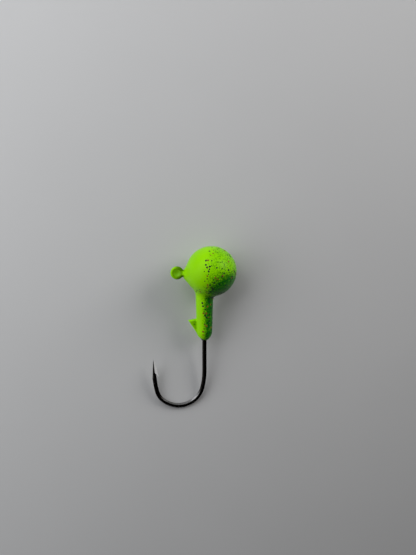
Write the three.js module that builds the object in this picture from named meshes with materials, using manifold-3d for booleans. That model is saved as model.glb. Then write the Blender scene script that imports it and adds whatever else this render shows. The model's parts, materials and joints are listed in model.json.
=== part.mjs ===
// A lead-headed fishing jig: a lead ball, collar and keeper barb cast around one steel hook,
// then painted. It lies on its side, resting on the ball and on the hook's bend.
//
// Everything is drawn in the hook's own plane first (X towards the belly, Y towards the nose,
// Z out of the plane, ball centre at the origin, millimetres). The whole jig is then tipped
// into its resting position, with +Z up.
import * as THREE from 'three';
import { mergeVertices } from 'three/addons/utils/BufferGeometryUtils.js';
import Module from 'manifold-3d';

const wasm = await Module();
wasm.setup();

// ---- Driving dimensions, mm -------------------------------------------------------------

// Painted outside of the head.
const BALL_RADIUS = 5.2;
const GATE_RADIUS = 1.15; // flat left on the nose where the casting gate was cut off
const NECK_AXIS_Y = -0.35; // the neck and the line eye sit a little below the ball's middle
const NECK_TIP_RADIUS = 0.65;
const NECK_TIP_X = -5.8;
const NECK_FOOT_RADIUS = 2.8;
const NECK_FOOT_X = -4.0;
const NECK_END_X = -2.5;
const SHANK_X = -1.42; // axis of the shank and of the collar
const COLLAR_TOP_Y = -3.2;
const COLLAR_FLARE_Y = -4.75;
const COLLAR_FLARE_RADIUS = 2.1;
const COLLAR_NECK_Y = -5.6;
const COLLAR_NECK_RADIUS = 1.79;
const COLLAR_END_Y = -12.4; // the straight taper ends here and the rounded end begins
const COLLAR_END_RADIUS = 1.6;
const COLLAR_ROUND_LENGTH = 2.15;
const PAINT_END_Y = -14.32; // the paint stops just short of the wire

// Keeper barb: a flat fin with a square ledge towards the ball and a long ramp behind it.
const KEEPER_OUTLINE = [
  [-4.82, -10.25],
  [-3.08, -9.93],
  [-1.6, -9.66],
  [-1.42, -13.4],
  [-2.2, -14.2],
];
const KEEPER_THICKNESS = 1.3;
const KEEPER_BEVEL = 0.26;

// Hook wire.
const WIRE_RADIUS = 0.46;
const EYE_X = -7.03;
const EYE_RING_RADIUS = 0.98; // to the middle of the wire
const EYE_WIRE_RADIUS = 0.27; // the wire is drawn thinner round the eye
const LEG_START_X = -5.0; // where the leg has grown to the full wire, inside the neck
const LEG_OVERLAP = 0.3; // how far the thin stretch runs on inside the full wire
const LEG_BEND_RADIUS = 1.2;
const BEND_START_Y = -20.9;
// The bend tightens and then opens again: radius in mm and turn in degrees of each arc.
const BEND_ARCS = [
  [16.6, 12.6],
  [5.23, 113.2],
  [3.65, 40.6],
  [20.0, 8.0],
];
const POINT_TIP = new THREE.Vector2(-12.1, -18.75);
const POINT_ROOT_RADIUS = 0.445;
const POINT_ROOT_OVERLAP = 0.3; // how far the point's root reaches back inside the wire
const HOOK_BARB_OUTLINE = [
  [-11.8, -19.9],
  [-10.88, -22.6],
  [-11.46, -22.02],
  [-11.85, -21.6],
];
const HOOK_BARB_THICKNESS = 0.4;

// Paint and the working gaps between pieces.
const PAINT_THICKNESS = 0.12;
const GAP = 0.03;
const EYE_FILM_HALF_THICKNESS = 0.12;

// Facet counts.
const BALL_SEGMENTS = 40;
const BALL_RINGS = 18;
const COLLAR_SEGMENTS = 28;
const ROUND_END_RINGS = 6;
const WIRE_SIDES = 16;
const WIRE_STEP = 1.0;
const RING_STEPS = 24;

// ---- Materials --------------------------------------------------------------------------

const blackNickel = new THREE.MeshStandardMaterial({
  color: 0x2b2826,
  metalness: 1.0,
  roughness: 0.28,
});
const castLead = new THREE.MeshStandardMaterial({
  color: 0x6f7276,
  metalness: 1.0,
  roughness: 0.55,
});
const chartreusePaint = new THREE.MeshStandardMaterial({
  color: 0x8cd600,
  metalness: 0.0,
  roughness: 0.35,
});
const filmPaint = new THREE.MeshStandardMaterial({
  color: 0x6fb000,
  metalness: 0.0,
  roughness: 0.45,
});

// ---- Solids from three.js geometry ------------------------------------------------------

// A closed geometry as a manifold solid: shared corners merged, empty triangles dropped.
function solid(geometry) {
  const bare = geometry.clone();
  bare.deleteAttribute('normal');
  bare.deleteAttribute('uv');
  const merged = mergeVertices(bare, 1e-5);
  const corners = merged.index.array;
  const kept = [];
  for (let i = 0; i < corners.length; i += 3) {
    const [a, b, c] = [corners[i], corners[i + 1], corners[i + 2]];
    if (a !== b && b !== c && c !== a) {
      kept.push(a, b, c);
    }
  }
  const mesh = new wasm.Mesh({
    numProp: 3,
    vertProperties: new Float32Array(merged.attributes.position.array),
    triVerts: new Uint32Array(kept),
  });
  return new wasm.Manifold(mesh);
}

function joined(solids) {
  return solids.reduce((whole, next) => whole.add(next));
}

function meshOf(name, body, material) {
  const { vertProperties, triVerts } = body.getMesh();
  const geometry = new THREE.BufferGeometry();
  geometry.setAttribute('position', new THREE.BufferAttribute(new Float32Array(vertProperties), 3));
  geometry.setIndex(new THREE.BufferAttribute(new Uint32Array(triVerts), 1));
  geometry.computeVertexNormals();
  const mesh = new THREE.Mesh(geometry, material);
  mesh.name = name;
  return mesh;
}

// ---- Head: ball, neck, collar and keeper, all drawn back from the painted surface by `inset`

function ball(inset) {
  const radius = BALL_RADIUS - inset;
  const gateY = Math.sqrt(BALL_RADIUS ** 2 - GATE_RADIUS ** 2) - inset;
  const gateAngle = Math.asin(gateY / radius);
  const profile = [];
  for (let i = 0; i <= BALL_RINGS; i += 1) {
    const angle = THREE.MathUtils.lerp(-Math.PI / 2, gateAngle, i / BALL_RINGS);
    const x = i === 0 ? 0 : radius * Math.cos(angle);
    profile.push(new THREE.Vector2(x, radius * Math.sin(angle)));
  }
  profile.push(new THREE.Vector2(0, gateY));
  return solid(new THREE.LatheGeometry(profile, BALL_SEGMENTS));
}

// A cone from the side of the ball to the line eye, its axis level with the eye.
function neck(inset) {
  const profile = [
    new THREE.Vector2(0, -NECK_END_X),
    new THREE.Vector2(NECK_FOOT_RADIUS - inset, -NECK_END_X),
    new THREE.Vector2(NECK_FOOT_RADIUS - inset, -NECK_FOOT_X - inset),
    new THREE.Vector2(NECK_TIP_RADIUS - inset, -NECK_TIP_X - inset),
    new THREE.Vector2(0, -NECK_TIP_X - inset),
  ];
  const geometry = new THREE.LatheGeometry(profile, COLLAR_SEGMENTS);
  geometry.rotateZ(Math.PI / 2);
  geometry.translate(0, NECK_AXIS_Y, 0);
  return solid(geometry);
}

function collar(inset) {
  const length = COLLAR_ROUND_LENGTH - inset;
  const radius = COLLAR_END_RADIUS - inset;
  const profile = [new THREE.Vector2(0, COLLAR_END_Y - length)];
  for (let i = 1; i <= ROUND_END_RINGS; i += 1) {
    const angle = (i / ROUND_END_RINGS) * (Math.PI / 2);
    const y = COLLAR_END_Y - length * Math.cos(angle);
    profile.push(new THREE.Vector2(radius * Math.sin(angle), y));
  }
  profile.push(
    new THREE.Vector2(COLLAR_NECK_RADIUS - inset, COLLAR_NECK_Y),
    new THREE.Vector2(COLLAR_FLARE_RADIUS - inset, COLLAR_FLARE_Y),
    new THREE.Vector2(COLLAR_FLARE_RADIUS - inset, COLLAR_TOP_Y),
    new THREE.Vector2(0, COLLAR_TOP_Y),
  );
  const geometry = new THREE.LatheGeometry(profile, COLLAR_SEGMENTS);
  geometry.translate(SHANK_X, 0, 0);
  return solid(geometry);
}

function keeper(inset) {
  const outline = new THREE.Shape(KEEPER_OUTLINE.map(([x, y]) => new THREE.Vector2(x, y)));
  const geometry = new THREE.ExtrudeGeometry(outline, {
    depth: KEEPER_THICKNESS - 2 * KEEPER_BEVEL - 2 * inset,
    bevelEnabled: true,
    bevelThickness: KEEPER_BEVEL,
    bevelSize: KEEPER_BEVEL,
    bevelOffset: -KEEPER_BEVEL - inset,
    bevelSegments: 1,
  });
  geometry.translate(0, 0, -KEEPER_THICKNESS / 2 + KEEPER_BEVEL + inset);
  return solid(geometry);
}

function head(inset) {
  return joined([ball(inset), neck(inset), collar(inset), keeper(inset)]);
}

// ---- Hook -------------------------------------------------------------------------------

// The wire's centreline: a flat path, lifted into space.
class WireCurve extends THREE.Curve {
  constructor(path) {
    super();
    this.path = path;
  }

  getPoint(t, target = new THREE.Vector3()) {
    const point = this.path.getPoint(t);
    return target.set(point.x, point.y, 0);
  }
}

// Adds an arc that turns clockwise from where the path now ends, and returns the new heading.
function turnClockwise(path, heading, radius, turn) {
  const side = heading - Math.PI / 2;
  const centreX = path.currentPoint.x + radius * Math.cos(side);
  const centreY = path.currentPoint.y + radius * Math.sin(side);
  const start = side + Math.PI;
  path.absarc(centreX, centreY, radius, start, start - turn, true);
  return heading - turn;
}

// From inside the neck into the ball, a right angle down the shank, and round the bend. It
// starts earlier by `lead`.
function wirePath(lead = 0) {
  const path = new THREE.Path();
  path.moveTo(LEG_START_X - lead, NECK_AXIS_Y);
  path.lineTo(SHANK_X - LEG_BEND_RADIUS, NECK_AXIS_Y);
  let heading = turnClockwise(path, 0, LEG_BEND_RADIUS, Math.PI / 2);
  path.lineTo(SHANK_X, BEND_START_Y);
  for (const [radius, turn] of BEND_ARCS) {
    heading = turnClockwise(path, heading, radius, THREE.MathUtils.degToRad(turn));
  }
  return { path, heading };
}

function wire(radius, lead = 0) {
  const { path } = wirePath(lead);
  const outline = new THREE.Shape();
  outline.absarc(0, 0, radius, 0, 2 * Math.PI, false);
  const geometry = new THREE.ExtrudeGeometry(outline, {
    steps: Math.round(path.getLength() / WIRE_STEP),
    curveSegments: WIRE_SIDES,
    bevelEnabled: false,
    extrudePath: new WireCurve(path),
  });
  return solid(geometry);
}

function eyeRing(radius) {
  const geometry = new THREE.TorusGeometry(EYE_RING_RADIUS, radius, WIRE_SIDES, RING_STEPS);
  geometry.translate(EYE_X, NECK_AXIS_Y, 0);
  return solid(geometry);
}

// The thin stretch that joins the eye ring to the full wire.
function eyeLeg(radius) {
  const startX = EYE_X + EYE_RING_RADIUS;
  const length = LEG_START_X + LEG_OVERLAP - startX;
  const geometry = new THREE.CylinderGeometry(radius, radius, length, WIRE_SIDES);
  geometry.rotateZ(Math.PI / 2);
  geometry.translate(startX + length / 2, NECK_AXIS_Y, 0);
  return solid(geometry);
}

// The ground point: a leaning cone whose outer side runs straight on from the wire.
function point() {
  const { path, heading } = wirePath();
  const back = new THREE.Vector2(-Math.cos(heading), -Math.sin(heading));
  const base = path.currentPoint.clone().addScaledVector(back, POINT_ROOT_OVERLAP);
  const along = new THREE.Vector3(POINT_TIP.x - base.x, POINT_TIP.y - base.y, 0);
  const length = along.length();
  const across = new THREE.Vector3(Math.sin(heading), -Math.cos(heading), 0);
  const lean = new THREE.Matrix4().makeBasis(
    across,
    along.divideScalar(length),
    new THREE.Vector3(0, 0, 1),
  );
  const geometry = new THREE.ConeGeometry(POINT_ROOT_RADIUS, length, WIRE_SIDES);
  geometry.translate(0, length / 2, 0);
  geometry.applyMatrix4(lean);
  geometry.translate(base.x, base.y, 0);
  return solid(geometry);
}

function hookBarb() {
  const outline = new THREE.Shape(HOOK_BARB_OUTLINE.map(([x, y]) => new THREE.Vector2(x, y)));
  const geometry = new THREE.ExtrudeGeometry(outline, {
    depth: HOOK_BARB_THICKNESS,
    bevelEnabled: false,
  });
  geometry.translate(0, 0, -HOOK_BARB_THICKNESS / 2);
  return solid(geometry);
}

// ---- Pieces -----------------------------------------------------------------------------

function hook() {
  return joined([
    eyeRing(EYE_WIRE_RADIUS),
    eyeLeg(EYE_WIRE_RADIUS),
    wire(WIRE_RADIUS),
    point(),
    hookBarb(),
  ]);
}

// The room that the hook takes up inside the casting and the paint.
function hookRoom() {
  return joined([
    eyeRing(EYE_WIRE_RADIUS + GAP),
    eyeLeg(EYE_WIRE_RADIUS + GAP),
    wire(WIRE_RADIUS + GAP, GAP),
  ]);
}

function leadHead() {
  return head(PAINT_THICKNESS + GAP).subtract(hookRoom());
}

// Everything beyond the paint's end, as a block to cut the collar's tip away.
function beyondPaint() {
  const size = 4 * COLLAR_END_RADIUS;
  const geometry = new THREE.BoxGeometry(size, size, size);
  geometry.translate(SHANK_X, PAINT_END_Y - size / 2, 0);
  return solid(geometry);
}

function paintCoat() {
  const outside = head(0).add(eyeRing(EYE_WIRE_RADIUS + PAINT_THICKNESS));
  return outside.subtract(head(PAINT_THICKNESS)).subtract(hookRoom()).subtract(beyondPaint());
}

// The paint that closes the line eye until it is punched out.
function eyeFilm() {
  const radius = EYE_RING_RADIUS - EYE_WIRE_RADIUS - PAINT_THICKNESS - GAP;
  const geometry = new THREE.CylinderGeometry(radius, radius, 2 * EYE_FILM_HALF_THICKNESS, RING_STEPS);
  geometry.rotateX(Math.PI / 2);
  geometry.translate(EYE_X, NECK_AXIS_Y, 0);
  return solid(geometry);
}

// ---- Assembly ---------------------------------------------------------------------------

// The slope that brings the ball and the bottom of the bend down onto one level surface.
function restPitch() {
  const bendY = Math.min(...wirePath().path.getPoints().map((p) => p.y));
  return Math.asin((BALL_RADIUS - WIRE_RADIUS) / -bendY);
}

const jig = new THREE.Group();
jig.rotation.x = restPitch();
jig.add(
  meshOf('hook', hook(), blackNickel),
  meshOf('lead_head', leadHead(), castLead),
  meshOf('paint_coat', paintCoat(), chartreusePaint),
  meshOf('eye_film', eyeFilm(), filmPaint),
);

// The origin is under the middle of the whole jig, on the surface that it lies on.
const placed = new THREE.Group();
placed.add(jig);
placed.updateMatrixWorld(true);
const box = new THREE.Box3().setFromObject(placed, true);
const middle = box.getCenter(new THREE.Vector3());
placed.position.set(-middle.x, -middle.y, -box.min.z);

export default placed;
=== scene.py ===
"""The looks of a painted round jig head: hook, lead casting, paint coat, eye film and specks.

Each piece is meshed from a distance field written in the jig's own axes, in millimetres:
x towards the belly, y towards the nose, z out of the hook's plane, ball centre at zero.
"""
import json
import math

import bpy
import numpy as np
import openvdb
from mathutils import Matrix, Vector


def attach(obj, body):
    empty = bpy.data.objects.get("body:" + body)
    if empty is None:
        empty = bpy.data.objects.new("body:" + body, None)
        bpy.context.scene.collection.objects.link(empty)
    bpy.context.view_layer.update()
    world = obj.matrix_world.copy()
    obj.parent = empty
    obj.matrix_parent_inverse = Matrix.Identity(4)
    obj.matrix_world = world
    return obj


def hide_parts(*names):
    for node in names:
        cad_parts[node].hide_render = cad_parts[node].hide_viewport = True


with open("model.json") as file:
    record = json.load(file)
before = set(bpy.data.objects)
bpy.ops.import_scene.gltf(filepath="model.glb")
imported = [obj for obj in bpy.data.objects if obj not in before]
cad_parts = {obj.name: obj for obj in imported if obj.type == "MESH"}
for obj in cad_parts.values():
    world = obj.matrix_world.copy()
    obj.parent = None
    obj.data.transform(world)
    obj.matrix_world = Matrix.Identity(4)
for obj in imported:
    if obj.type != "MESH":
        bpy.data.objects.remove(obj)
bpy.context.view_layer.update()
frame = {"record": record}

# ---- The jig's own axes, from the frame's mounts ------------------------------------------

MM = 0.001
FRAME_BALL_RADIUS = 5.2  # of the ball that the nose_flat mount is cut from
BALL_RADIUS = 5.15  # of the ball drawn here
GATE_RADIUS = 1.15
GATE_Y = math.sqrt(FRAME_BALL_RADIUS**2 - GATE_RADIUS**2)

mounts = {m["name"]: m for m in frame["record"]["mounts"]}
JIG_Y = Vector(mounts["nose_flat"]["axis"]).normalized()
JIG_Z = Vector(mounts["line_eye"]["axis"]).normalized()
JIG_X = JIG_Y.cross(JIG_Z).normalized()
BALL_CENTRE = Vector(mounts["nose_flat"]["pos_m"]) - JIG_Y * GATE_Y * MM

# ---- Dimensions, mm -----------------------------------------------------------------------
# A fillet or an edge is the rounding where two shapes meet. A pair named _FADE holds the two
# limits between which a mask goes from 0 to 1, in mm or in the parts of a unit normal.

# Ball, neck and collar
GATE_EDGE = 0.08
NECK_AXIS_Y = -0.35
NECK_DROP = 0.25  # how far the cone of the neck hangs below the eye's axis
NECK_TIP_X = -5.75
NECK_TIP_RADIUS = 0.82
NECK_TIP_EDGE = 0.3
NECK_FOOT_X = -4.0
NECK_FOOT_RADIUS = 2.66
NECK_END_X = -2.5
NECK_FLATNESS = 1.15
NECK_FILLET = 0.5
SHANK_X = -1.42
COLLAR_TOP_Y = -3.0
COLLAR_END_Y = -12.4
COLLAR_END_RADIUS = 1.6
COLLAR_MIDDLE_RADIUS = 1.75
COLLAR_TAPER = 0.026
COLLAR_ROUND_LENGTH = 2.15
COLLAR_FILLET = 0.9
COLLAR_LEAST = 1e-6  # keeps the field of the rounded end finite at its middle

# Keeper barb: its outline in the hook's plane, and half its width
KEEPER_OUTLINE = ((-4.8, -10.23), (-1.6, -9.65), (-1.42, -13.4), (-2.2, -14.2))
KEEPER_ROOT_HALF = 0.62
KEEPER_TIP_HALF = 0.44
KEEPER_CHAMFER = 0.28
KEEPER_EDGE = 0.08
KEEPER_CHAMFER_EDGE = 0.1
KEEPER_FILLET = 0.16

# Paint coat
PAINT_END_Y = -14.3
PAINT_END_SLANT = 0.45
PAINT_END_EDGE = 0.1
PAINT_THICKNESS = 0.1
RIPPLE_COARSE = 0.01
RIPPLE_FINE = 0.005
SEAM_HEIGHT = 0.025
SEAM_WIDTH = 0.1
BORE_GAP = 0.02  # room left round the wire at the paint's lower end
BORE_TOP_Y = -13.3
BORE_SKIN_GAP = 0.06  # the bore's own skin lies within this of the wire
BORE_SKIN_Y = (-14.1, -13.2)

# Lead casting, and the cone of bare lead that runs down the wire
LEAD_INSET = 0.13
LEAD_GAP = 0.015
CONE_SHIFT = 0.12
CONE_RADIUS = 0.5
CONE_SLOPE = 0.5
CONE_SCALE = 0.9  # evens out the field beside the cone's slope
CONE_BASE_Y = -14.4
CONE_END_Y = -14.9
CONE_TOP_Y = -13.5
CONE_FILLET = 0.15

# Line eye
EYE_X = -7.03
EYE_RING_RADIUS = 0.98
EYE_WIRE_RADIUS = 0.265
EYE_PAINT_RADIUS = 0.37
EYE_PAINT_FILLET = 0.3
FILM_RADIUS = 0.8
FILM_HALF = 0.09
FILM_RISE = 0.2
FILM_DISH = 1.5  # the power by which the film thickens towards its rim
FILM_EDGE = 0.03

# Hook wire
WIRE_RADIUS = 0.443
LEG_START_X = -5.0
LEG_BEND_RADIUS = 1.2
EYE_LEG_FILLET = 0.1
LEG_FILLET = 0.15
BEND_START_Y = -20.9
BEND_ARCS = ((16.6, 12.6), (5.23, 113.2), (3.65, 40.6), (20.0, 8.0))  # radius, degrees
POINT_TIP = (-12.09, -18.75)
POINT_RADIUS = 0.03
POINT_TAPER = 0.9  # the power by which the needle thickens from its tip
POINT_SCALE = 0.98  # evens out the field beside the needle's slope
POINT_FILLET = 0.05
BARB_TIP = (-10.9, -22.58)
BARB_ROOT = (-11.44, -21.95)
GRIND_SLOPE = 0.45  # how far the ground faces lean, as a sine
GRIND_END = 0.1  # how far below the tip the ground faces end
GRIND_BACK_EDGE = 0.02
GRIND_EDGE = 0.03

# Bright steel on the hook: the point's bare ground faces, drawn pale to stand in also for their
# reflection, and a painted glint and a painted reflection on the inner side of the bend
BARB_FADE = (0.05, -0.05)
POINT_SIDE_FADE = (-10.0, -10.6)
POINT_END_FADE = (-23.2, -22.7)
POINT_FACING_FADE = (0.1, 0.3)
DARK_EDGE = (-0.06, 0.18)  # reach of the point's dark back, at the tip and at the barb
DARK_FADE = (-0.04, 0.12)
INWARD = np.array([-0.7, 0.7, 0.0])
# Painted glint: a pale patch on the inner side of the bend where it faces the lamps
GLINT_PLACE = (-3.5, -26.7)
GLINT_REACH = 1.1
GLINT_SHARE = 0.7
GLINT_FADE = (0.3, 0.7)
PAINTED_REFLECTION = 0.26  # brightness of the painted reflection on the inner side of the bend, where it faces the nose
PAINTED_REFLECTION_FADE = (-25.8, -28.0)
PAINTED_REFLECTION_FACING_FADE = (0.35, 0.9)

# Overspray: how thick it lies, 0 to 1
MIST_LIGHT = 0.35  # where it is only droplets
MIST_FULL = 0.95  # where it hides the paint
VEIL_SHARE = 0.3  # how far the lightest mist tints the paint
MIST_UNEVEN = (-0.3, 0.24)  # what noise adds to the mist before it becomes a coat
FINE_SHARE = 1.3  # part of the cells with a fine droplet, for each part of mist
LARGE_SHARES = ((0.1, 0.9), (0.0, 0.9))  # limits of mist, and the parts with a large droplet
SPRAY_FRONT = np.array([0.95, 0.0, 0.32])
SPRAY_FRONT_FADE = (-0.12, 0.45)
SPRAY_BELOW = np.array([0.5, -0.866, 0.0])
SPRAY_BELOW_FADE = (0.1, 0.85)
SPRAY_CORE = np.array([0.4, -0.42, 0.81])  # towards the middle of the thickest patch
SPRAY_CORE_FADE = (0.7, 0.97)
SPRAY_CORE_SHARE = 0.42
SPRAY_COLLAR_FADE = (-0.38, 0.5)
SPRAY_JOIN_FADE = (-3.9, -5.2)  # down from the ball's spray to the collar's
SPRAY_NECK_FADE = (-4.6, -2.8)  # out of the clean neck

# Painted shade: paint darkened to stand in for shade on the keeper's flat faces, inside the line
# eye and in the notches where the eye meets the neck
FLAT_FACE_FADE = (0.7, 0.95)
KEEPER_SIDE_FADE = (-3.0, -3.4)
KEEPER_TOP_FADE = (-9.0, -9.6)
KEEPER_SHADE = 0.5
EYE_INSIDE_FADE = (1.25, 0.9)
EYE_INSIDE_SHADE = 0.6
EYE_RIM_FADE = (1.75, 1.45)
EYE_RIM_SIDE_FADE = (-0.9, 0.4)
EYE_RIM_HEIGHT_FADE = (0.25, 0.55)

# Paint specks
BLACK_SEED = 8
BLACK_COUNT = 170
COPPER_SEED = 12
COPPER_COUNT = 60
SPECK_SPACING = 0.36
SPECK_RADII = (0.12, 0.24)
SPECK_HEIGHT = 0.03
SPECK_RINGS = ((0.5, 0.024), (0.85, 0.012), (1.0, -0.02))  # reach and height of each ring
SPECK_SIDES = 12
SPECK_UNEVEN = 0.1
SPECK_ROUNDS = 6  # of settling, for the middles of the specks
SPECK_ON_BALL = 0.7  # share of the tries that land on the ball
SPECK_COLLAR_Y = (-13.2, -5.2)
COLLAR_JOIN_Y = (-5.2, -3.5)  # where the collar stands in the ball's surface
COLLAR_JOIN_RADIUS = 2.0
MIST_EDGE = 0.2  # specks gather where the mist is about this thick
MIST_EDGE_WIDTH = 0.09
SPECK_CHANCE = 0.22
SPECK_EDGE_CHANCE = 0.75
SPECK_THICK_CHANCE = 0.5
SPECK_THIN_FADE = (0.03, 0.1)
SPECK_THICK_FADE = (0.4, 0.7)
ASKEW = (0.3, 0.2, 0.93)  # a slanting direction, to find one that lies in the surface

# Mesh sizes, and the boxes that hold the fields
COAT_STEP = 0.118
LEAD_STEP = 0.16
HOOK_STEP = 0.05
FILM_STEP = 0.04
COAT_BOX = ((EYE_X - 1.7, -15.0, -5.5), (5.5, 5.5, 5.5))
LEAD_BOX = ((-6.6, -15.3, -5.4), (5.4, 5.4, 5.4))
HOOK_BOX = ((-12.7, -29.4, -0.6), (-0.6, 1.1, 0.6))
FILM_MARGIN = 0.1
FILM_ROOM = 0.5
GRID_BAND = 3.0  # cells on each side of a surface that the grid keeps
NORMAL_STEP = 0.01  # reach of the differences that give a normal
LEAST_SLOPE = 0.2  # keeps a point from leaping where a field is nearly flat
TINY = 1e-9  # keeps a normal's length from being zero

# ---- Colours, surfaces and stage ----------------------------------------------------------

# Pairs are two tones of one surface, mixed by noise
PAINT_TONES = ((0.31, 0.79, 0.0), (0.34, 0.84, 0.0))
# Painted shade: the darker colour laid where shade falls on the keeper and round the line eye
PAINTED_SHADE_COLOUR = (0.11, 0.28, 0.0)
VEIL = (0.12, 0.46, 0.0)
FINE_DROPLETS = (0.04, 0.27, 0.0)
LARGE_DROPLETS = (0.004, 0.075, 0.002)
OVERSPRAY = (0.002, 0.155, 0.003)
# The film's two tones, darker than the coat's as painted shade
FILM_SHADED_TONES = ((0.17, 0.46, 0.0), (0.27, 0.68, 0.0))
BLACK_TONES = ((0.004, 0.012, 0.006), (0.012, 0.03, 0.014))
COPPER_TONES = ((0.18, 0.07, 0.005), (0.32, 0.115, 0.01))
PLATE_TONES = ((0.006, 0.0052, 0.0046), (0.018, 0.0155, 0.0135))
# Pale steel of the bare ground faces, also used for the painted glint and painted reflection in
# the bend
PALE_STEEL_AND_GLINT = (0.75, 0.75, 0.76)
LEAD_TONES = ((0.09, 0.09, 0.095), (0.16, 0.16, 0.17))
# The floor's pair is its shaded and its lit tone, mixed by the painted light as well as by noise
FLOOR_SHADED_AND_LIT_TONES = ((0.404, 0.404, 0.407), (0.626, 0.627, 0.633))

PAINT_SPECULAR = 0.2
PAINT_SPECULAR_TINT = (0.75, 1.0, 0.28)
PLATE_SPECULAR_TINT = (0.1, 0.095, 0.09)
DROPLET_STRENGTH = 0.8
DROPLET_LEAST = 0.6  # radius of the smallest droplet, as a part of the largest
DROPLET_EDGE = (0.7, 1.1)  # where a droplet fades out, in its own radii
UNIT = (0.0, 1.0)
NOISE_RANGE = (0.3, 0.7)  # between these lies most of what a noise gives

# Painted light on the floor: its colour brightens along this direction, by this much for each
# metre
FLOOR_LIGHT_SLOPE = (-2.75, 1.73, 0.0)
FLOOR_SPAN = 0.22
FLOOR_UNEVEN = 0.02
FLOOR_ROUGHNESS = 0.7
FLOOR_SPECULAR = 0.2
FLOOR_HALF = 1.5

# Soft discs that face the ball: azimuth and elevation in degrees, width in m, watts, colour
COOL = (0.97, 0.985, 1.0)
WARM = (1.0, 0.98, 0.96)
LIGHT_DISTANCE = 0.25
LIGHTS = {
    "window_left": (150, 42, 0.24, 0.26, COOL),
    "window_top": (100, 42, 0.24, 0.165, COOL),
    "window_low": (190, 25, 0.22, 0.165, COOL),
    "lamp": (30, 27, 0.14, 0.31, WARM),
}
WORLD_STRENGTH = 0.03

CAMERA_HEIGHT = 0.1578
CAMERA_SHIFT_X = -0.00068
CAMERA_SHIFT_Y = -0.00129
CAMERA_NEAR = 0.01
LENS = 50.0
SENSOR = 36.0


# ---- Distance field tools -----------------------------------------------------------------


def union(a, b, k):
    """The union of two fields with a fillet of about k."""
    h = np.clip(0.5 + 0.5 * (b - a) / k, 0, 1)
    return b * (1 - h) + a * h - k * h * (1 - h)


def common(a, b, k):
    """The intersection of two fields with an edge rounded by about k."""
    return -union(-a, -b, k)


def smoothstep(low, high, value):
    """0 at low and 1 at high, eased at both ends; low may be the larger one."""
    t = np.clip((value - low) / (high - low), 0, 1)
    return t * t * (3 - 2 * t)


def gradient(field, points, step=NORMAL_STEP):
    """The field's value, unit normal and slope at each point."""
    value = field(*points.T)
    normal = np.zeros_like(points)
    for axis in range(3):
        shift = np.zeros(3)
        shift[axis] = step
        normal[:, axis] = field(*(points + shift).T) - field(*(points - shift).T)
    slope = np.linalg.norm(normal, axis=1, keepdims=True) / (2 * step)
    normal /= np.maximum(np.linalg.norm(normal, axis=1, keepdims=True), TINY)
    return value, normal, np.maximum(slope[:, 0], LEAST_SLOPE)


def settle(field, points, rounds=4):
    """Moves points onto the field's zero surface."""
    for _ in range(rounds):
        value, normal, slope = gradient(field, points)
        points = points - normal * (value / slope)[:, None]
    return points


def surface(field, low, high, step):
    """Points and quads of the field's zero surface inside a box."""
    low = np.array(low, float)
    counts = np.ceil((np.array(high) - low) / step).astype(int) + 1
    axes = [low[i] + step * np.arange(counts[i]) for i in range(3)]
    x, y, z = np.meshgrid(*axes, indexing="ij", sparse=True)
    values = np.broadcast_to(field(x, y, z), counts) / step
    grid = openvdb.FloatGrid(background=GRID_BAND)
    near = np.clip(values, -GRID_BAND, GRID_BAND)
    grid.copyFromArray(np.ascontiguousarray(near, dtype=np.float32))
    grid.gridClass = openvdb.GridClass.LEVEL_SET
    points, quads = grid.convertToQuads(0.0)
    points = settle(field, points.astype(float) * step + low)
    corners = points[quads]
    across = np.cross(corners[:, 2] - corners[:, 0], corners[:, 3] - corners[:, 1])
    if np.einsum("ij,ij->", corners.mean(1), across) < 0:
        quads = quads[:, ::-1]
    return points, quads


def placed(points):
    """Jig millimetres as metres in the row frame."""
    axes = np.array([JIG_X, JIG_Y, JIG_Z])
    return np.array(BALL_CENTRE) + MM * points @ axes


def mesh_object(name, points, quads, values=None):
    """A smooth-shaded mesh object, with one float attribute for each entry of values."""
    mesh = bpy.data.meshes.new(name)
    mesh.vertices.add(len(points))
    mesh.vertices.foreach_set("co", placed(points).ravel().astype(np.float32))
    sides = quads.shape[1]
    mesh.loops.add(quads.size)
    mesh.loops.foreach_set("vertex_index", quads.ravel().astype(np.int32))
    mesh.polygons.add(len(quads))
    mesh.polygons.foreach_set("loop_start", np.arange(0, quads.size, sides, dtype=np.int32))
    mesh.update(calc_edges=True)
    mesh.validate()
    mesh.shade_smooth()
    for key, numbers in (values or {}).items():
        attribute = mesh.attributes.new(key, "FLOAT", "POINT")
        attribute.data.foreach_set("value", numbers.astype(np.float32))
    obj = bpy.data.objects.new(name, mesh)
    bpy.context.scene.collection.objects.link(obj)
    return obj


# ---- The wire's centreline ----------------------------------------------------------------


def turn(start, heading, radius, degrees):
    """A clockwise arc as (centre, radius, first angle, sweep), its end and the new heading."""
    side = heading - math.pi / 2
    centre = (start[0] + radius * math.cos(side), start[1] + radius * math.sin(side))
    first = side + math.pi
    sweep = math.radians(degrees)
    last = first - sweep
    end = (centre[0] + radius * math.cos(last), centre[1] + radius * math.sin(last))
    return (centre, radius, first, sweep), end, heading - sweep


def wire_route():
    """Lines and arcs from inside the neck to the root of the point, and where they end."""
    leg_start = (LEG_START_X, NECK_AXIS_Y)
    leg_end = (SHANK_X - LEG_BEND_RADIUS, NECK_AXIS_Y)
    arc, corner, heading = turn(leg_end, 0.0, LEG_BEND_RADIUS, 90)
    bend = (SHANK_X, BEND_START_Y)
    lines = [(leg_start, leg_end), (corner, bend)]
    arcs = [arc]
    end = bend
    for radius, degrees in BEND_ARCS:
        arc, end, heading = turn(end, heading, radius, degrees)
        arcs.append(arc)
    return lines, arcs, end


LINES, ARCS, WIRE_END = wire_route()


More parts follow.
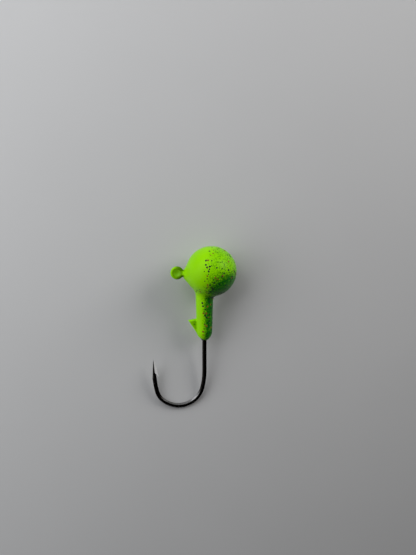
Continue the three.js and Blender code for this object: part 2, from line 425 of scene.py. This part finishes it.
def line_distance(x, y, start, end):
    """Flat distance to a line piece, and how far along it the nearest point is."""
    dx, dy = end[0] - start[0], end[1] - start[1]
    t = np.clip(((x - start[0]) * dx + (y - start[1]) * dy) / (dx * dx + dy * dy), 0, 1)
    return np.hypot(x - start[0] - t * dx, y - start[1] - t * dy), t


def arc_distance(x, y, arc):
    """Flat distance to an arc."""
    centre, radius, first, sweep = arc
    px, py = x - centre[0], y - centre[1]
    middle = first - sweep / 2
    away = (np.arctan2(py, px) - middle + math.pi) % (2 * math.pi) - math.pi
    away = np.clip(away, -sweep / 2, sweep / 2)
    near = middle + away
    return np.hypot(px - radius * np.cos(near), py - radius * np.sin(near))


def wire_field(x, y, z, radius):
    """The full wire, from inside the neck to the root of the point."""
    flat = np.inf
    for start, end in LINES:
        flat = np.minimum(flat, line_distance(x, y, start, end)[0])
    for arc in ARCS:
        flat = np.minimum(flat, arc_distance(x, y, arc))
    return np.hypot(flat, z) - radius


def ring_field(x, y, z, radius):
    """The ring of the line eye."""
    flat = np.hypot(x - EYE_X, y - NECK_AXIS_Y) - EYE_RING_RADIUS
    return np.hypot(flat, z) - radius


# ---- Hook ---------------------------------------------------------------------------------


def plane(x, y, start, end):
    """Flat distance to the right of the line from start to end."""
    dx, dy = end[0] - start[0], end[1] - start[1]
    return ((x - start[0]) * dy - (y - start[1]) * dx) / math.hypot(dx, dy)


def point_field(x, y, z):
    """The needle, and the two ground faces that meet in the edge running down to the barb."""
    flat, t = line_distance(x, y, WIRE_END, POINT_TIP)
    radius = POINT_RADIUS + (WIRE_RADIUS - POINT_RADIUS) * (1 - t) ** POINT_TAPER
    needle = (np.hypot(flat, z) - radius) * POINT_SCALE
    beside = plane(x, y, WIRE_END, POINT_TIP)
    faces = GRIND_SLOPE * beside + math.sqrt(1 - GRIND_SLOPE**2) * np.abs(z) - radius
    wedge = common(faces, GRIND_SLOPE * radius - beside, GRIND_BACK_EDGE)
    wedge = common(wedge, plane(x, y, BARB_ROOT, BARB_TIP), GRIND_EDGE)
    wedge = common(wedge, y - POINT_TIP[1] + GRIND_END, GRIND_EDGE)
    return union(needle, wedge, GRIND_EDGE)


def eye_leg_field(x, y, z):
    """The thin stretch that joins the eye ring to the full wire."""
    start = (EYE_X + EYE_RING_RADIUS, NECK_AXIS_Y)
    flat, _ = line_distance(x, y, start, (LEG_START_X, NECK_AXIS_Y))
    return np.hypot(flat, z) - EYE_WIRE_RADIUS


def hook_field(x, y, z):
    ring = ring_field(x, y, z, EYE_WIRE_RADIUS)
    shape = union(ring, eye_leg_field(x, y, z), EYE_LEG_FILLET)
    shape = union(shape, wire_field(x, y, z, WIRE_RADIUS), LEG_FILLET)
    return union(shape, point_field(x, y, z), POINT_FILLET)


# ---- Head ---------------------------------------------------------------------------------


def ball_field(x, y, z, inset):
    """The ball with its gate flat; inset draws every head field inwards, for the lead."""
    sphere = np.sqrt(x * x + y * y + z * z) - (BALL_RADIUS - inset)
    return common(sphere, y - (GATE_Y - inset), GATE_EDGE)


def neck_field(x, y, z, inset):
    """The cone from the ball to the line eye."""
    along = -x
    across = np.hypot(y - NECK_AXIS_Y + NECK_DROP, z * NECK_FLATNESS)
    slope = (NECK_FOOT_RADIUS - NECK_TIP_RADIUS) / (NECK_FOOT_X - NECK_TIP_X)
    radius = np.minimum(NECK_TIP_RADIUS + slope * (-NECK_TIP_X - along), NECK_FOOT_RADIUS)
    side = (across - radius) / math.hypot(1, slope)
    shape = common(side, along + NECK_TIP_X, NECK_TIP_EDGE)
    return np.maximum(shape, -NECK_END_X - along) + inset


def collar_field(x, y, z, inset):
    """The tapering collar down the shank, with its rounded end."""
    across = np.hypot(x - SHANK_X, z)
    above = y - COLLAR_END_Y
    side = across - (COLLAR_END_RADIUS + COLLAR_TAPER * above)
    near = np.hypot(across / COLLAR_END_RADIUS, above / COLLAR_ROUND_LENGTH)
    far = np.hypot(across / COLLAR_END_RADIUS**2, above / COLLAR_ROUND_LENGTH**2)
    rounded = near * (near - 1) / np.maximum(far, COLLAR_LEAST)
    shape = np.where(above > 0, side, rounded)
    return np.maximum(shape, y - COLLAR_TOP_Y) + inset


def keeper_field(x, y, z, inset):
    """The flat barb that keeps a soft bait on the collar."""
    flat = -np.inf
    count = len(KEEPER_OUTLINE)
    for i in range(count):
        edge = plane(x, y, KEEPER_OUTLINE[i], KEEPER_OUTLINE[(i + 1) % count])
        flat = np.maximum(flat, -edge)
    tip_x = KEEPER_OUTLINE[0][0]
    share = np.clip((x - tip_x) / (SHANK_X - COLLAR_END_RADIUS - tip_x), 0, 1)
    half = KEEPER_TIP_HALF + (KEEPER_ROOT_HALF - KEEPER_TIP_HALF) * share
    face = np.abs(z) - half
    chamfer = (flat + face + KEEPER_CHAMFER) * math.sqrt(0.5)
    shape = common(flat, face, KEEPER_EDGE)
    return common(shape, chamfer, KEEPER_CHAMFER_EDGE) + inset


def film_field(x, y, z):
    """The dished skin of paint across the eye, its edge buried in the ring's paint."""
    across = np.hypot(x - EYE_X, y - NECK_AXIS_Y)
    half = FILM_HALF + FILM_RISE * smoothstep(0.0, FILM_RADIUS, across) ** FILM_DISH
    return common(across - FILM_RADIUS, np.abs(z) - half, FILM_EDGE)


def head_field(x, y, z, inset):
    shape = union(ball_field(x, y, z, inset), neck_field(x, y, z, inset), NECK_FILLET)
    shape = union(shape, collar_field(x, y, z, inset), COLLAR_FILLET)
    return union(shape, keeper_field(x, y, z, inset), KEEPER_FILLET)


def ripple(x, y, z):
    """Gentle unevenness of the paint, mm: two sets of waves, 2 to 5 mm long."""
    coarse = np.sin(1.7 * x + 0.4) * np.sin(1.3 * y + 1.1) * np.sin(1.9 * z + 0.7)
    fine = np.sin(3.1 * x - 1.2 * y + 0.3) * np.sin(2.7 * z + 1.5 * y)
    return RIPPLE_COARSE * coarse + RIPPLE_FINE * fine


def coat_field(x, y, z):
    """The outside of the paint, with the casting's seam and the bore for the wire."""
    ring = ring_field(x, y, z, EYE_PAINT_RADIUS)
    shape = union(head_field(x, y, z, 0.0), ring, EYE_PAINT_FILLET)
    seam = SEAM_HEIGHT * np.exp(-((z / SEAM_WIDTH) ** 2))
    shape = shape - seam + ripple(x, y, z)
    cut = PAINT_END_Y - PAINT_END_SLANT * (x - SHANK_X) - y
    shape = common(shape, cut / math.hypot(1, PAINT_END_SLANT), PAINT_END_EDGE)
    bore = np.hypot(x - SHANK_X, z) - (WIRE_RADIUS + BORE_GAP)
    return np.maximum(shape, -np.maximum(bore, y - BORE_TOP_Y))


def lead_field(x, y, z):
    """The casting, with the little cone of lead that runs down the wire."""
    shape = head_field(x, y, z, LEAD_INSET)
    across = np.hypot(x - SHANK_X + CONE_SHIFT, z)
    side = (across - CONE_RADIUS + CONE_SLOPE * (CONE_BASE_Y - y)) * CONE_SCALE
    cone = np.maximum(side, CONE_END_Y - y)
    cone = np.maximum(cone, y - CONE_TOP_Y)
    shape = union(shape, cone, CONE_FILLET)
    return np.maximum(shape, -wire_field(x, y, z, WIRE_RADIUS + LEAD_GAP))


# ---- Materials ----------------------------------------------------------------------------


class Look:
    """A material on the standard shader, with short ways to add nodes to it."""

    def __init__(self, name):
        self.material = bpy.data.materials.new(name)
        self.material.use_nodes = True
        self.nodes = self.material.node_tree.nodes
        self.links = self.material.node_tree.links
        self.shader = self.nodes["Principled BSDF"]

    def feed(self, socket, value):
        """Gives a socket a number, a colour or another node's output."""
        if isinstance(value, (int, float)):
            socket.default_value = value
        elif isinstance(value, tuple):
            socket.default_value = (*value, 1.0)
        else:
            self.links.new(value, socket)

    def shade(self, name, value):
        """Feeds one of the shader's own sockets."""
        self.feed(self.shader.inputs[name], value)

    def node(self, kind, **values):
        """A new node, with what its sockets are given; _ stands for a space in their names."""
        node = self.nodes.new(kind)
        for name, value in values.items():
            self.feed(node.inputs[name.replace("_", " ")], value)
        return node

    def place(self):
        """Where a point lies on the object, in metres."""
        return self.node("ShaderNodeTexCoord").outputs["Object"]

    def attribute(self, name):
        node = self.node("ShaderNodeAttribute")
        node.attribute_name = name
        return node.outputs["Fac"]

    def noise(self, scale, detail, roughness=0.5):
        node = self.node("ShaderNodeTexNoise", Vector=self.place(), Scale=scale)
        self.feed(node.inputs["Detail"], detail)
        self.feed(node.inputs["Roughness"], roughness)
        return node.outputs["Fac"]

    def spread(self, value, source, target):
        """value carried from one pair of limits to another."""
        node = self.node("ShaderNodeMapRange", Value=value, From_Min=source[0], From_Max=source[1])
        self.feed(node.inputs["To Min"], target[0])
        self.feed(node.inputs["To Max"], target[1])
        return node.outputs["Result"]

    def vary(self, noise, low, high):
        """A noise carried to a pair of limits."""
        return self.spread(noise, NOISE_RANGE, (low, high))

    def mix(self, share, first, second):
        """A colour between first and second, which are colours or sockets."""
        node = self.node("ShaderNodeMix")
        node.data_type = "RGBA"
        self.feed(node.inputs["Factor"], share)
        self.feed(node.inputs["A"], first)
        self.feed(node.inputs["B"], second)
        return node.outputs["Result"]

    def combine(self, operation, first, second):
        node = self.node("ShaderNodeMath")
        node.operation = operation
        self.feed(node.inputs[0], first)
        self.feed(node.inputs[1], second)
        return node.outputs["Value"]

    def bump(self, height, strength, depth):
        """Unevenness of the surface; depth is in mm."""
        node = self.node("ShaderNodeBump", Height=height, Strength=strength, Distance=depth * MM)
        self.shade("Normal", node.outputs["Normal"])

    def droplets(self, scale, size, share):
        """A mask of round droplets; share is the part of the cells that hold one."""
        cells = self.node("ShaderNodeTexVoronoi", Vector=self.place(), Scale=scale)
        draw = self.node("ShaderNodeSeparateColor", Color=cells.outputs["Color"])
        held = self.combine("LESS_THAN", draw.outputs["Red"], share)
        radius = self.spread(draw.outputs["Green"], UNIT, (DROPLET_LEAST * size, size))
        reach = self.combine("DIVIDE", cells.outputs["Distance"], radius)
        dot = self.spread(reach, DROPLET_EDGE, (1.0, 0.0))
        return self.combine("MULTIPLY", dot, held)


def paint_material():
    """Chartreuse powder paint under a green overspray that thickens from droplets to a coat."""
    look = Look("chartreuse_paint")
    mist = look.attribute("mist")
    fine = look.droplets(scale=5200, size=0.5, share=look.combine("MULTIPLY", mist, FINE_SHARE))
    large = look.droplets(scale=2500, size=0.45, share=look.spread(mist, *LARGE_SHARES))
    uneven = look.vary(look.noise(scale=3200, detail=2.0, roughness=0.6), *MIST_UNEVEN)
    uneven_mist = look.combine("ADD", mist, uneven)
    coat = look.spread(uneven_mist, (MIST_LIGHT, MIST_FULL), UNIT)
    veil = look.spread(mist, (0.0, MIST_LIGHT), (0.0, VEIL_SHARE))
    colour = look.mix(look.noise(scale=260, detail=2.0), *PAINT_TONES)
    # Painted shade on the keeper's flat faces and in and round the line eye
    colour = look.mix(look.attribute("painted_shade"), colour, PAINTED_SHADE_COLOUR)
    colour = look.mix(veil, colour, VEIL)
    colour = look.mix(look.combine("MULTIPLY", fine, DROPLET_STRENGTH), colour, FINE_DROPLETS)
    colour = look.mix(coat, colour, OVERSPRAY)
    colour = look.mix(look.combine("MULTIPLY", large, DROPLET_STRENGTH), colour, LARGE_DROPLETS)
    look.shade("Base Color", colour)
    cloud = look.noise(scale=900, detail=3.0, roughness=0.6)
    look.shade("Roughness", look.vary(cloud, 0.3, 0.4))
    look.shade("Specular IOR Level", PAINT_SPECULAR)
    look.shade("Specular Tint", PAINT_SPECULAR_TINT)
    look.bump(look.noise(scale=1500, detail=1.0), strength=0.25, depth=0.04)
    return look.material


def film_material():
    """The same paint where it spans the eye, a little dull, its colour darkened as painted shade.
    """
    look = Look("eye_film_paint")
    tone = look.noise(scale=2200, detail=3.0)
    look.shade("Base Color", look.mix(tone, *FILM_SHADED_TONES))
    look.shade("Roughness", look.vary(tone, 0.45, 0.6))
    look.shade("Specular IOR Level", PAINT_SPECULAR)
    look.bump(tone, strength=0.3, depth=0.03)
    return look.material


def speck_material(name, tones):
    """A fleck of dried paint."""
    look = Look(name)
    tone = look.noise(scale=4000, detail=1.0)
    look.shade("Base Color", look.mix(tone, *tones))
    look.shade("Roughness", look.vary(tone, 0.35, 0.5))
    look.shade("Specular IOR Level", PAINT_SPECULAR)
    return look.material


def hook_material():
    """Black nickel plate, turned pale dull steel by its mask: the point's bare ground faces, and a
    painted glint and painted reflection in the bend.
    """
    look = Look("black_nickel")
    pale_steel_and_glint = look.attribute("pale_steel_and_glint")
    plate = look.mix(look.noise(scale=350, detail=3.0), *PLATE_TONES)
    # Pale steel on the bare ground faces, and painted glint and painted reflection in the bend
    look.shade("Base Color", look.mix(pale_steel_and_glint, plate, PALE_STEEL_AND_GLINT))
    look.shade("Metallic", look.spread(pale_steel_and_glint, UNIT, (1.0, 0.2)))
    look.shade("Specular Tint", PLATE_SPECULAR_TINT)
    rough = look.vary(look.noise(scale=2600, detail=2.0), 0.2, 0.34)
    dull = look.spread(pale_steel_and_glint, UNIT, (0.0, 0.3))
    look.shade("Roughness", look.combine("ADD", rough, dull))
    return look.material


def lead_material():
    """Dull cast lead."""
    look = Look("cast_lead")
    cloud = look.noise(scale=600, detail=3.0)
    look.shade("Base Color", look.mix(cloud, *LEAD_TONES))
    look.shade("Metallic", 1.0)
    look.shade("Roughness", look.vary(cloud, 0.45, 0.65))
    look.bump(cloud, strength=0.3, depth=0.05)
    return look.material


def floor_material():
    """Plain pale paper, with painted light: its colour brightens along one direction."""
    look = Look("floor")
    across = look.node("ShaderNodeVectorMath")
    across.operation = "DOT_PRODUCT"
    across.inputs[1].default_value = FLOOR_LIGHT_SLOPE
    look.links.new(look.place(), across.inputs[0])
    share = look.spread(across.outputs["Value"], (-FLOOR_SPAN, FLOOR_SPAN), UNIT)
    uneven = look.vary(look.noise(scale=40, detail=2.0), -FLOOR_UNEVEN, FLOOR_UNEVEN)
    look.shade("Base Color", look.mix(look.combine("ADD", share, uneven), *FLOOR_SHADED_AND_LIT_TONES))
    look.shade("Roughness", FLOOR_ROUGHNESS)
    look.shade("Specular IOR Level", FLOOR_SPECULAR)
    return look.material


# ---- Pieces -------------------------------------------------------------------------------


def finish_piece(obj, material, node):
    """Ties a piece to the frame; node is the CAD node it stands in for, if any."""
    obj.data.materials.append(material)
    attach(obj, "root")
    if node:
        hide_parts(node)


def pale_steel_and_glint_of(points, normal):
    """Where the hook is drawn pale: the point's bare ground faces, also standing in for their
    reflection, and a painted glint and painted reflection in the bend.
    """
    x, y, _ = points.T
    beside = plane(x, y, WIRE_END, POINT_TIP)
    below = np.clip((POINT_TIP[1] - y) / (POINT_TIP[1] - BARB_TIP[1]), 0, 1)
    edge = DARK_EDGE[0] + (DARK_EDGE[1] - DARK_EDGE[0]) * below
    ground = smoothstep(*BARB_FADE, plane(x, y, BARB_ROOT, BARB_TIP))
    ground = ground * smoothstep(*POINT_SIDE_FADE, x) * smoothstep(*DARK_FADE, beside - edge)
    ground = ground * smoothstep(*POINT_END_FADE, y)
    ground = ground * smoothstep(*POINT_FACING_FADE, normal[:, 0])
    # Painted glint and painted reflection: pale where the bend's inner side faces the lamps
    painted_glint = np.exp(-((x - GLINT_PLACE[0]) ** 2 + (y - GLINT_PLACE[1]) ** 2) / GLINT_REACH**2)
    painted_glint = GLINT_SHARE * painted_glint * smoothstep(*GLINT_FADE, normal @ INWARD)
    painted_reflection = smoothstep(*PAINTED_REFLECTION_FADE, y) * smoothstep(*PAINTED_REFLECTION_FACING_FADE, normal[:, 1])
    return np.clip(ground + painted_glint + PAINTED_REFLECTION * painted_reflection, 0, 1)


def make_hook():
    points, quads = surface(hook_field, *HOOK_BOX, HOOK_STEP)
    _, normal, _ = gradient(hook_field, points)
    obj = mesh_object("hook_wire", points, quads, {"pale_steel_and_glint": pale_steel_and_glint_of(points, normal)})
    finish_piece(obj, hook_material(), "hook")


def make_lead():
    points, quads = surface(lead_field, *LEAD_BOX, LEAD_STEP)
    obj = mesh_object("lead_casting", points, quads)
    finish_piece(obj, lead_material(), "lead_head")


def mist_of(points, normal):
    """How thick the overspray lies, 0 to 1: droplets from the front, then a coat from below."""
    x, y, _ = points.T
    droplets_share = smoothstep(*SPRAY_FRONT_FADE, normal @ SPRAY_FRONT)
    ball = smoothstep(*SPRAY_BELOW_FADE, normal @ SPRAY_BELOW)
    core = smoothstep(*SPRAY_CORE_FADE, normal @ SPRAY_CORE)
    ball = np.minimum(ball + SPRAY_CORE_SHARE * core, 1)
    collar = smoothstep(*SPRAY_COLLAR_FADE, normal[:, 0])
    share = smoothstep(*SPRAY_JOIN_FADE, y)
    coat = ball * (1 - share) + collar * share
    mist = MIST_LIGHT * droplets_share + (1 - MIST_LIGHT) * coat
    return mist * smoothstep(*SPRAY_NECK_FADE, x)


def painted_shade_of(points, normal):
    """Painted shade, 0 to 1: the keeper's flat faces, the inside of the line eye, and the notches
    where the eye meets the neck.
    """
    x, y, _ = points.T
    flat = smoothstep(*FLAT_FACE_FADE, np.abs(normal[:, 2]))
    keeper = smoothstep(*KEEPER_SIDE_FADE, x) * smoothstep(*KEEPER_TOP_FADE, y) * flat
    across, up = x - EYE_X, y - NECK_AXIS_Y
    reach = np.hypot(across, up)
    inner = smoothstep(*EYE_INSIDE_FADE, reach)
    rim = smoothstep(*EYE_RIM_FADE, reach) * smoothstep(*EYE_RIM_SIDE_FADE, across)
    rim = rim * smoothstep(*EYE_RIM_HEIGHT_FADE, np.abs(up))
    return np.clip(KEEPER_SHADE * keeper + np.maximum(EYE_INSIDE_SHADE * inner, rim), 0, 1)


def make_coat():
    """The paint as a shell, thickened inwards and open round the wire."""
    points, quads = surface(coat_field, *COAT_BOX, COAT_STEP)
    _, normal, _ = gradient(coat_field, points)
    x, y, z = points.T
    bore_skin = np.hypot(x - SHANK_X, z) < WIRE_RADIUS + BORE_SKIN_GAP
    bore_skin &= (y > BORE_SKIN_Y[0]) & (y < BORE_SKIN_Y[1])
    kept = quads[~bore_skin[quads].any(1)]
    used = np.unique(kept)
    order = np.zeros(len(points), int)
    order[used] = np.arange(len(used))
    values = {"mist": mist_of(points, normal)[used], "painted_shade": painted_shade_of(points, normal)[used]}
    obj = mesh_object("paint_shell", points[used], order[kept], values)
    shell = obj.modifiers.new("paint_thickness", "SOLIDIFY")
    shell.thickness = PAINT_THICKNESS * MM
    shell.offset = -1.0
    finish_piece(obj, paint_material(), "paint_coat")


def make_film():
    reach = FILM_RADIUS + FILM_MARGIN
    low = (EYE_X - reach, NECK_AXIS_Y - reach, -FILM_ROOM)
    high = (EYE_X + reach, NECK_AXIS_Y + reach, FILM_ROOM)
    points, quads = surface(film_field, low, high, FILM_STEP)
    obj = mesh_object("eye_film_skin", points, quads)
    finish_piece(obj, film_material(), "eye_film")


def speck_places(draw, count):
    """Scattered points on the misted side of the ball and collar, none too near another."""
    places = []
    while len(places) < count:
        if draw.random() < SPECK_ON_BALL:
            facing = draw.normal(size=3)
            facing /= np.linalg.norm(facing)
            place = BALL_RADIUS * facing
        else:
            angle = draw.uniform(0, 2 * math.pi)
            facing = np.array([math.cos(angle), 0.0, math.sin(angle)])
            height = draw.uniform(*SPECK_COLLAR_Y)
            place = COLLAR_MIDDLE_RADIUS * facing + (SHANK_X, height, 0)
        crowded = any(np.linalg.norm(place - other) < SPECK_SPACING for other in places)
        from_shank = np.hypot(place[0] - SHANK_X, place[2])
        inside = COLLAR_JOIN_Y[0] < place[1] < COLLAR_JOIN_Y[1]
        inside = inside and from_shank < COLLAR_JOIN_RADIUS
        mist = mist_of(place[None], facing[None])[0]
        edge = SPECK_EDGE_CHANCE * math.exp(-(((mist - MIST_EDGE) / MIST_EDGE_WIDTH) ** 2))
        thick = SPECK_THICK_CHANCE * smoothstep(*SPECK_THICK_FADE, mist)
        chance = smoothstep(*SPECK_THIN_FADE, mist) * (SPECK_CHANCE + edge + thick)
        if not crowded and not inside and draw.random() < chance:
            places.append(place)
    return settle(coat_field, np.array(places), SPECK_ROUNDS)


def speck_points(draw, centres):
    """Points and heights of all domes: a top, the rings from the top down, and a foot."""
    _, normals, _ = gradient(coat_field, centres)
    points = []
    heights = []
    for centre, normal in zip(centres, normals):
        side = np.cross(normal, ASKEW)
        side /= np.linalg.norm(side)
        other = np.cross(normal, side)
        radius = draw.uniform(*SPECK_RADII)
        phase = draw.uniform(0, 2 * math.pi)
        points.append(centre)
        heights.append(SPECK_HEIGHT)
        for reach, height in SPECK_RINGS:
            for i in range(SPECK_SIDES):
                angle = 2 * math.pi * i / SPECK_SIDES
                far = radius * reach * (1 + SPECK_UNEVEN * math.sin(2 * angle + phase))
                points.append(centre + far * (math.cos(angle) * side + math.sin(angle) * other))
                heights.append(height)
        points.append(centre)
        heights.append(SPECK_RINGS[-1][1])
    return np.array(points), np.array(heights)


def speck_faces(count):
    """The triangles of all domes, for points in the order of speck_points."""
    rings = len(SPECK_RINGS)
    size = rings * SPECK_SIDES + 2
    faces = []
    for first in range(0, count, size):
        for i in range(SPECK_SIDES):
            follow = (i + 1) % SPECK_SIDES
            ring = first + 1
            faces.append((first, ring + i, ring + follow))
            for _ in range(rings - 1):
                below = ring + SPECK_SIDES
                faces.append((ring + i, below + i, below + follow))
                faces.append((ring + i, below + follow, ring + follow))
                ring = below
            faces.append((ring + i, first + size - 1, ring + follow))
    return np.array(faces)


def make_specks(name, seed, count, tones):
    """Low domes of spattered paint, each a closed body with its rim sunk into the coat."""
    draw = np.random.default_rng(seed)
    points, heights = speck_points(draw, speck_places(draw, count))
    points = settle(coat_field, points)
    _, normal, _ = gradient(coat_field, points)
    points = points + normal * heights[:, None]
    obj = mesh_object(name, points, speck_faces(len(points)))
    finish_piece(obj, speck_material(name, tones), None)


# ---- Stage, light and camera --------------------------------------------------------------


def make_floor():
    mesh = bpy.data.meshes.new("floor")
    size = FLOOR_HALF
    corners = [(-size, -size, 0), (size, -size, 0), (size, size, 0), (-size, size, 0)]
    mesh.from_pydata(corners, [], [(0, 1, 2, 3)])
    floor = bpy.data.objects.new("floor", mesh)
    bpy.context.scene.collection.objects.link(floor)
    mesh.materials.append(floor_material())


def soft_light(name, azimuth, elevation, size, watts, colour):
    """A soft disc that faces the ball from the given direction, in degrees."""
    data = bpy.data.lights.new(name, "AREA")
    data.shape = "DISK"
    data.size = size
    data.energy = watts
    data.color = colour
    turned, raised = math.radians(azimuth), math.radians(elevation)
    flat = math.cos(raised)
    way = Vector((flat * math.cos(turned), flat * math.sin(turned), math.sin(raised)))
    light = bpy.data.objects.new(name, data)
    place = BALL_CENTRE + LIGHT_DISTANCE * way
    light.location = place
    light.rotation_euler = (BALL_CENTRE - place).to_track_quat("-Z", "Y").to_euler()
    bpy.context.scene.collection.objects.link(light)


def make_lights():
    for name, settings in LIGHTS.items():
        soft_light(name, *settings)
    world = bpy.data.worlds.new("world")
    bpy.context.scene.world = world
    world.use_nodes = True
    background = world.node_tree.nodes["Background"]
    background.inputs["Color"].default_value = (1.0, 1.0, 1.0, 1.0)
    background.inputs["Strength"].default_value = WORLD_STRENGTH


def make_camera():
    data = bpy.data.cameras.new("camera")
    data.lens = LENS
    data.sensor_width = SENSOR
    data.sensor_fit = "VERTICAL"
    data.sensor_height = SENSOR
    data.clip_start = CAMERA_NEAR
    camera = bpy.data.objects.new("camera", data)
    offset = Vector((CAMERA_SHIFT_X, CAMERA_SHIFT_Y, CAMERA_HEIGHT))
    camera.location = BALL_CENTRE + offset
    bpy.context.scene.collection.objects.link(camera)
    bpy.context.scene.camera = camera


def main():
    bpy.context.scene.view_settings.view_transform = "Standard"
    make_camera()
    make_lights()
    make_floor()
    make_hook()
    make_lead()
    make_coat()
    make_film()
    make_specks("black_specks", BLACK_SEED, BLACK_COUNT, BLACK_TONES)
    make_specks("copper_specks", COPPER_SEED, COPPER_COUNT, COPPER_TONES)


main()
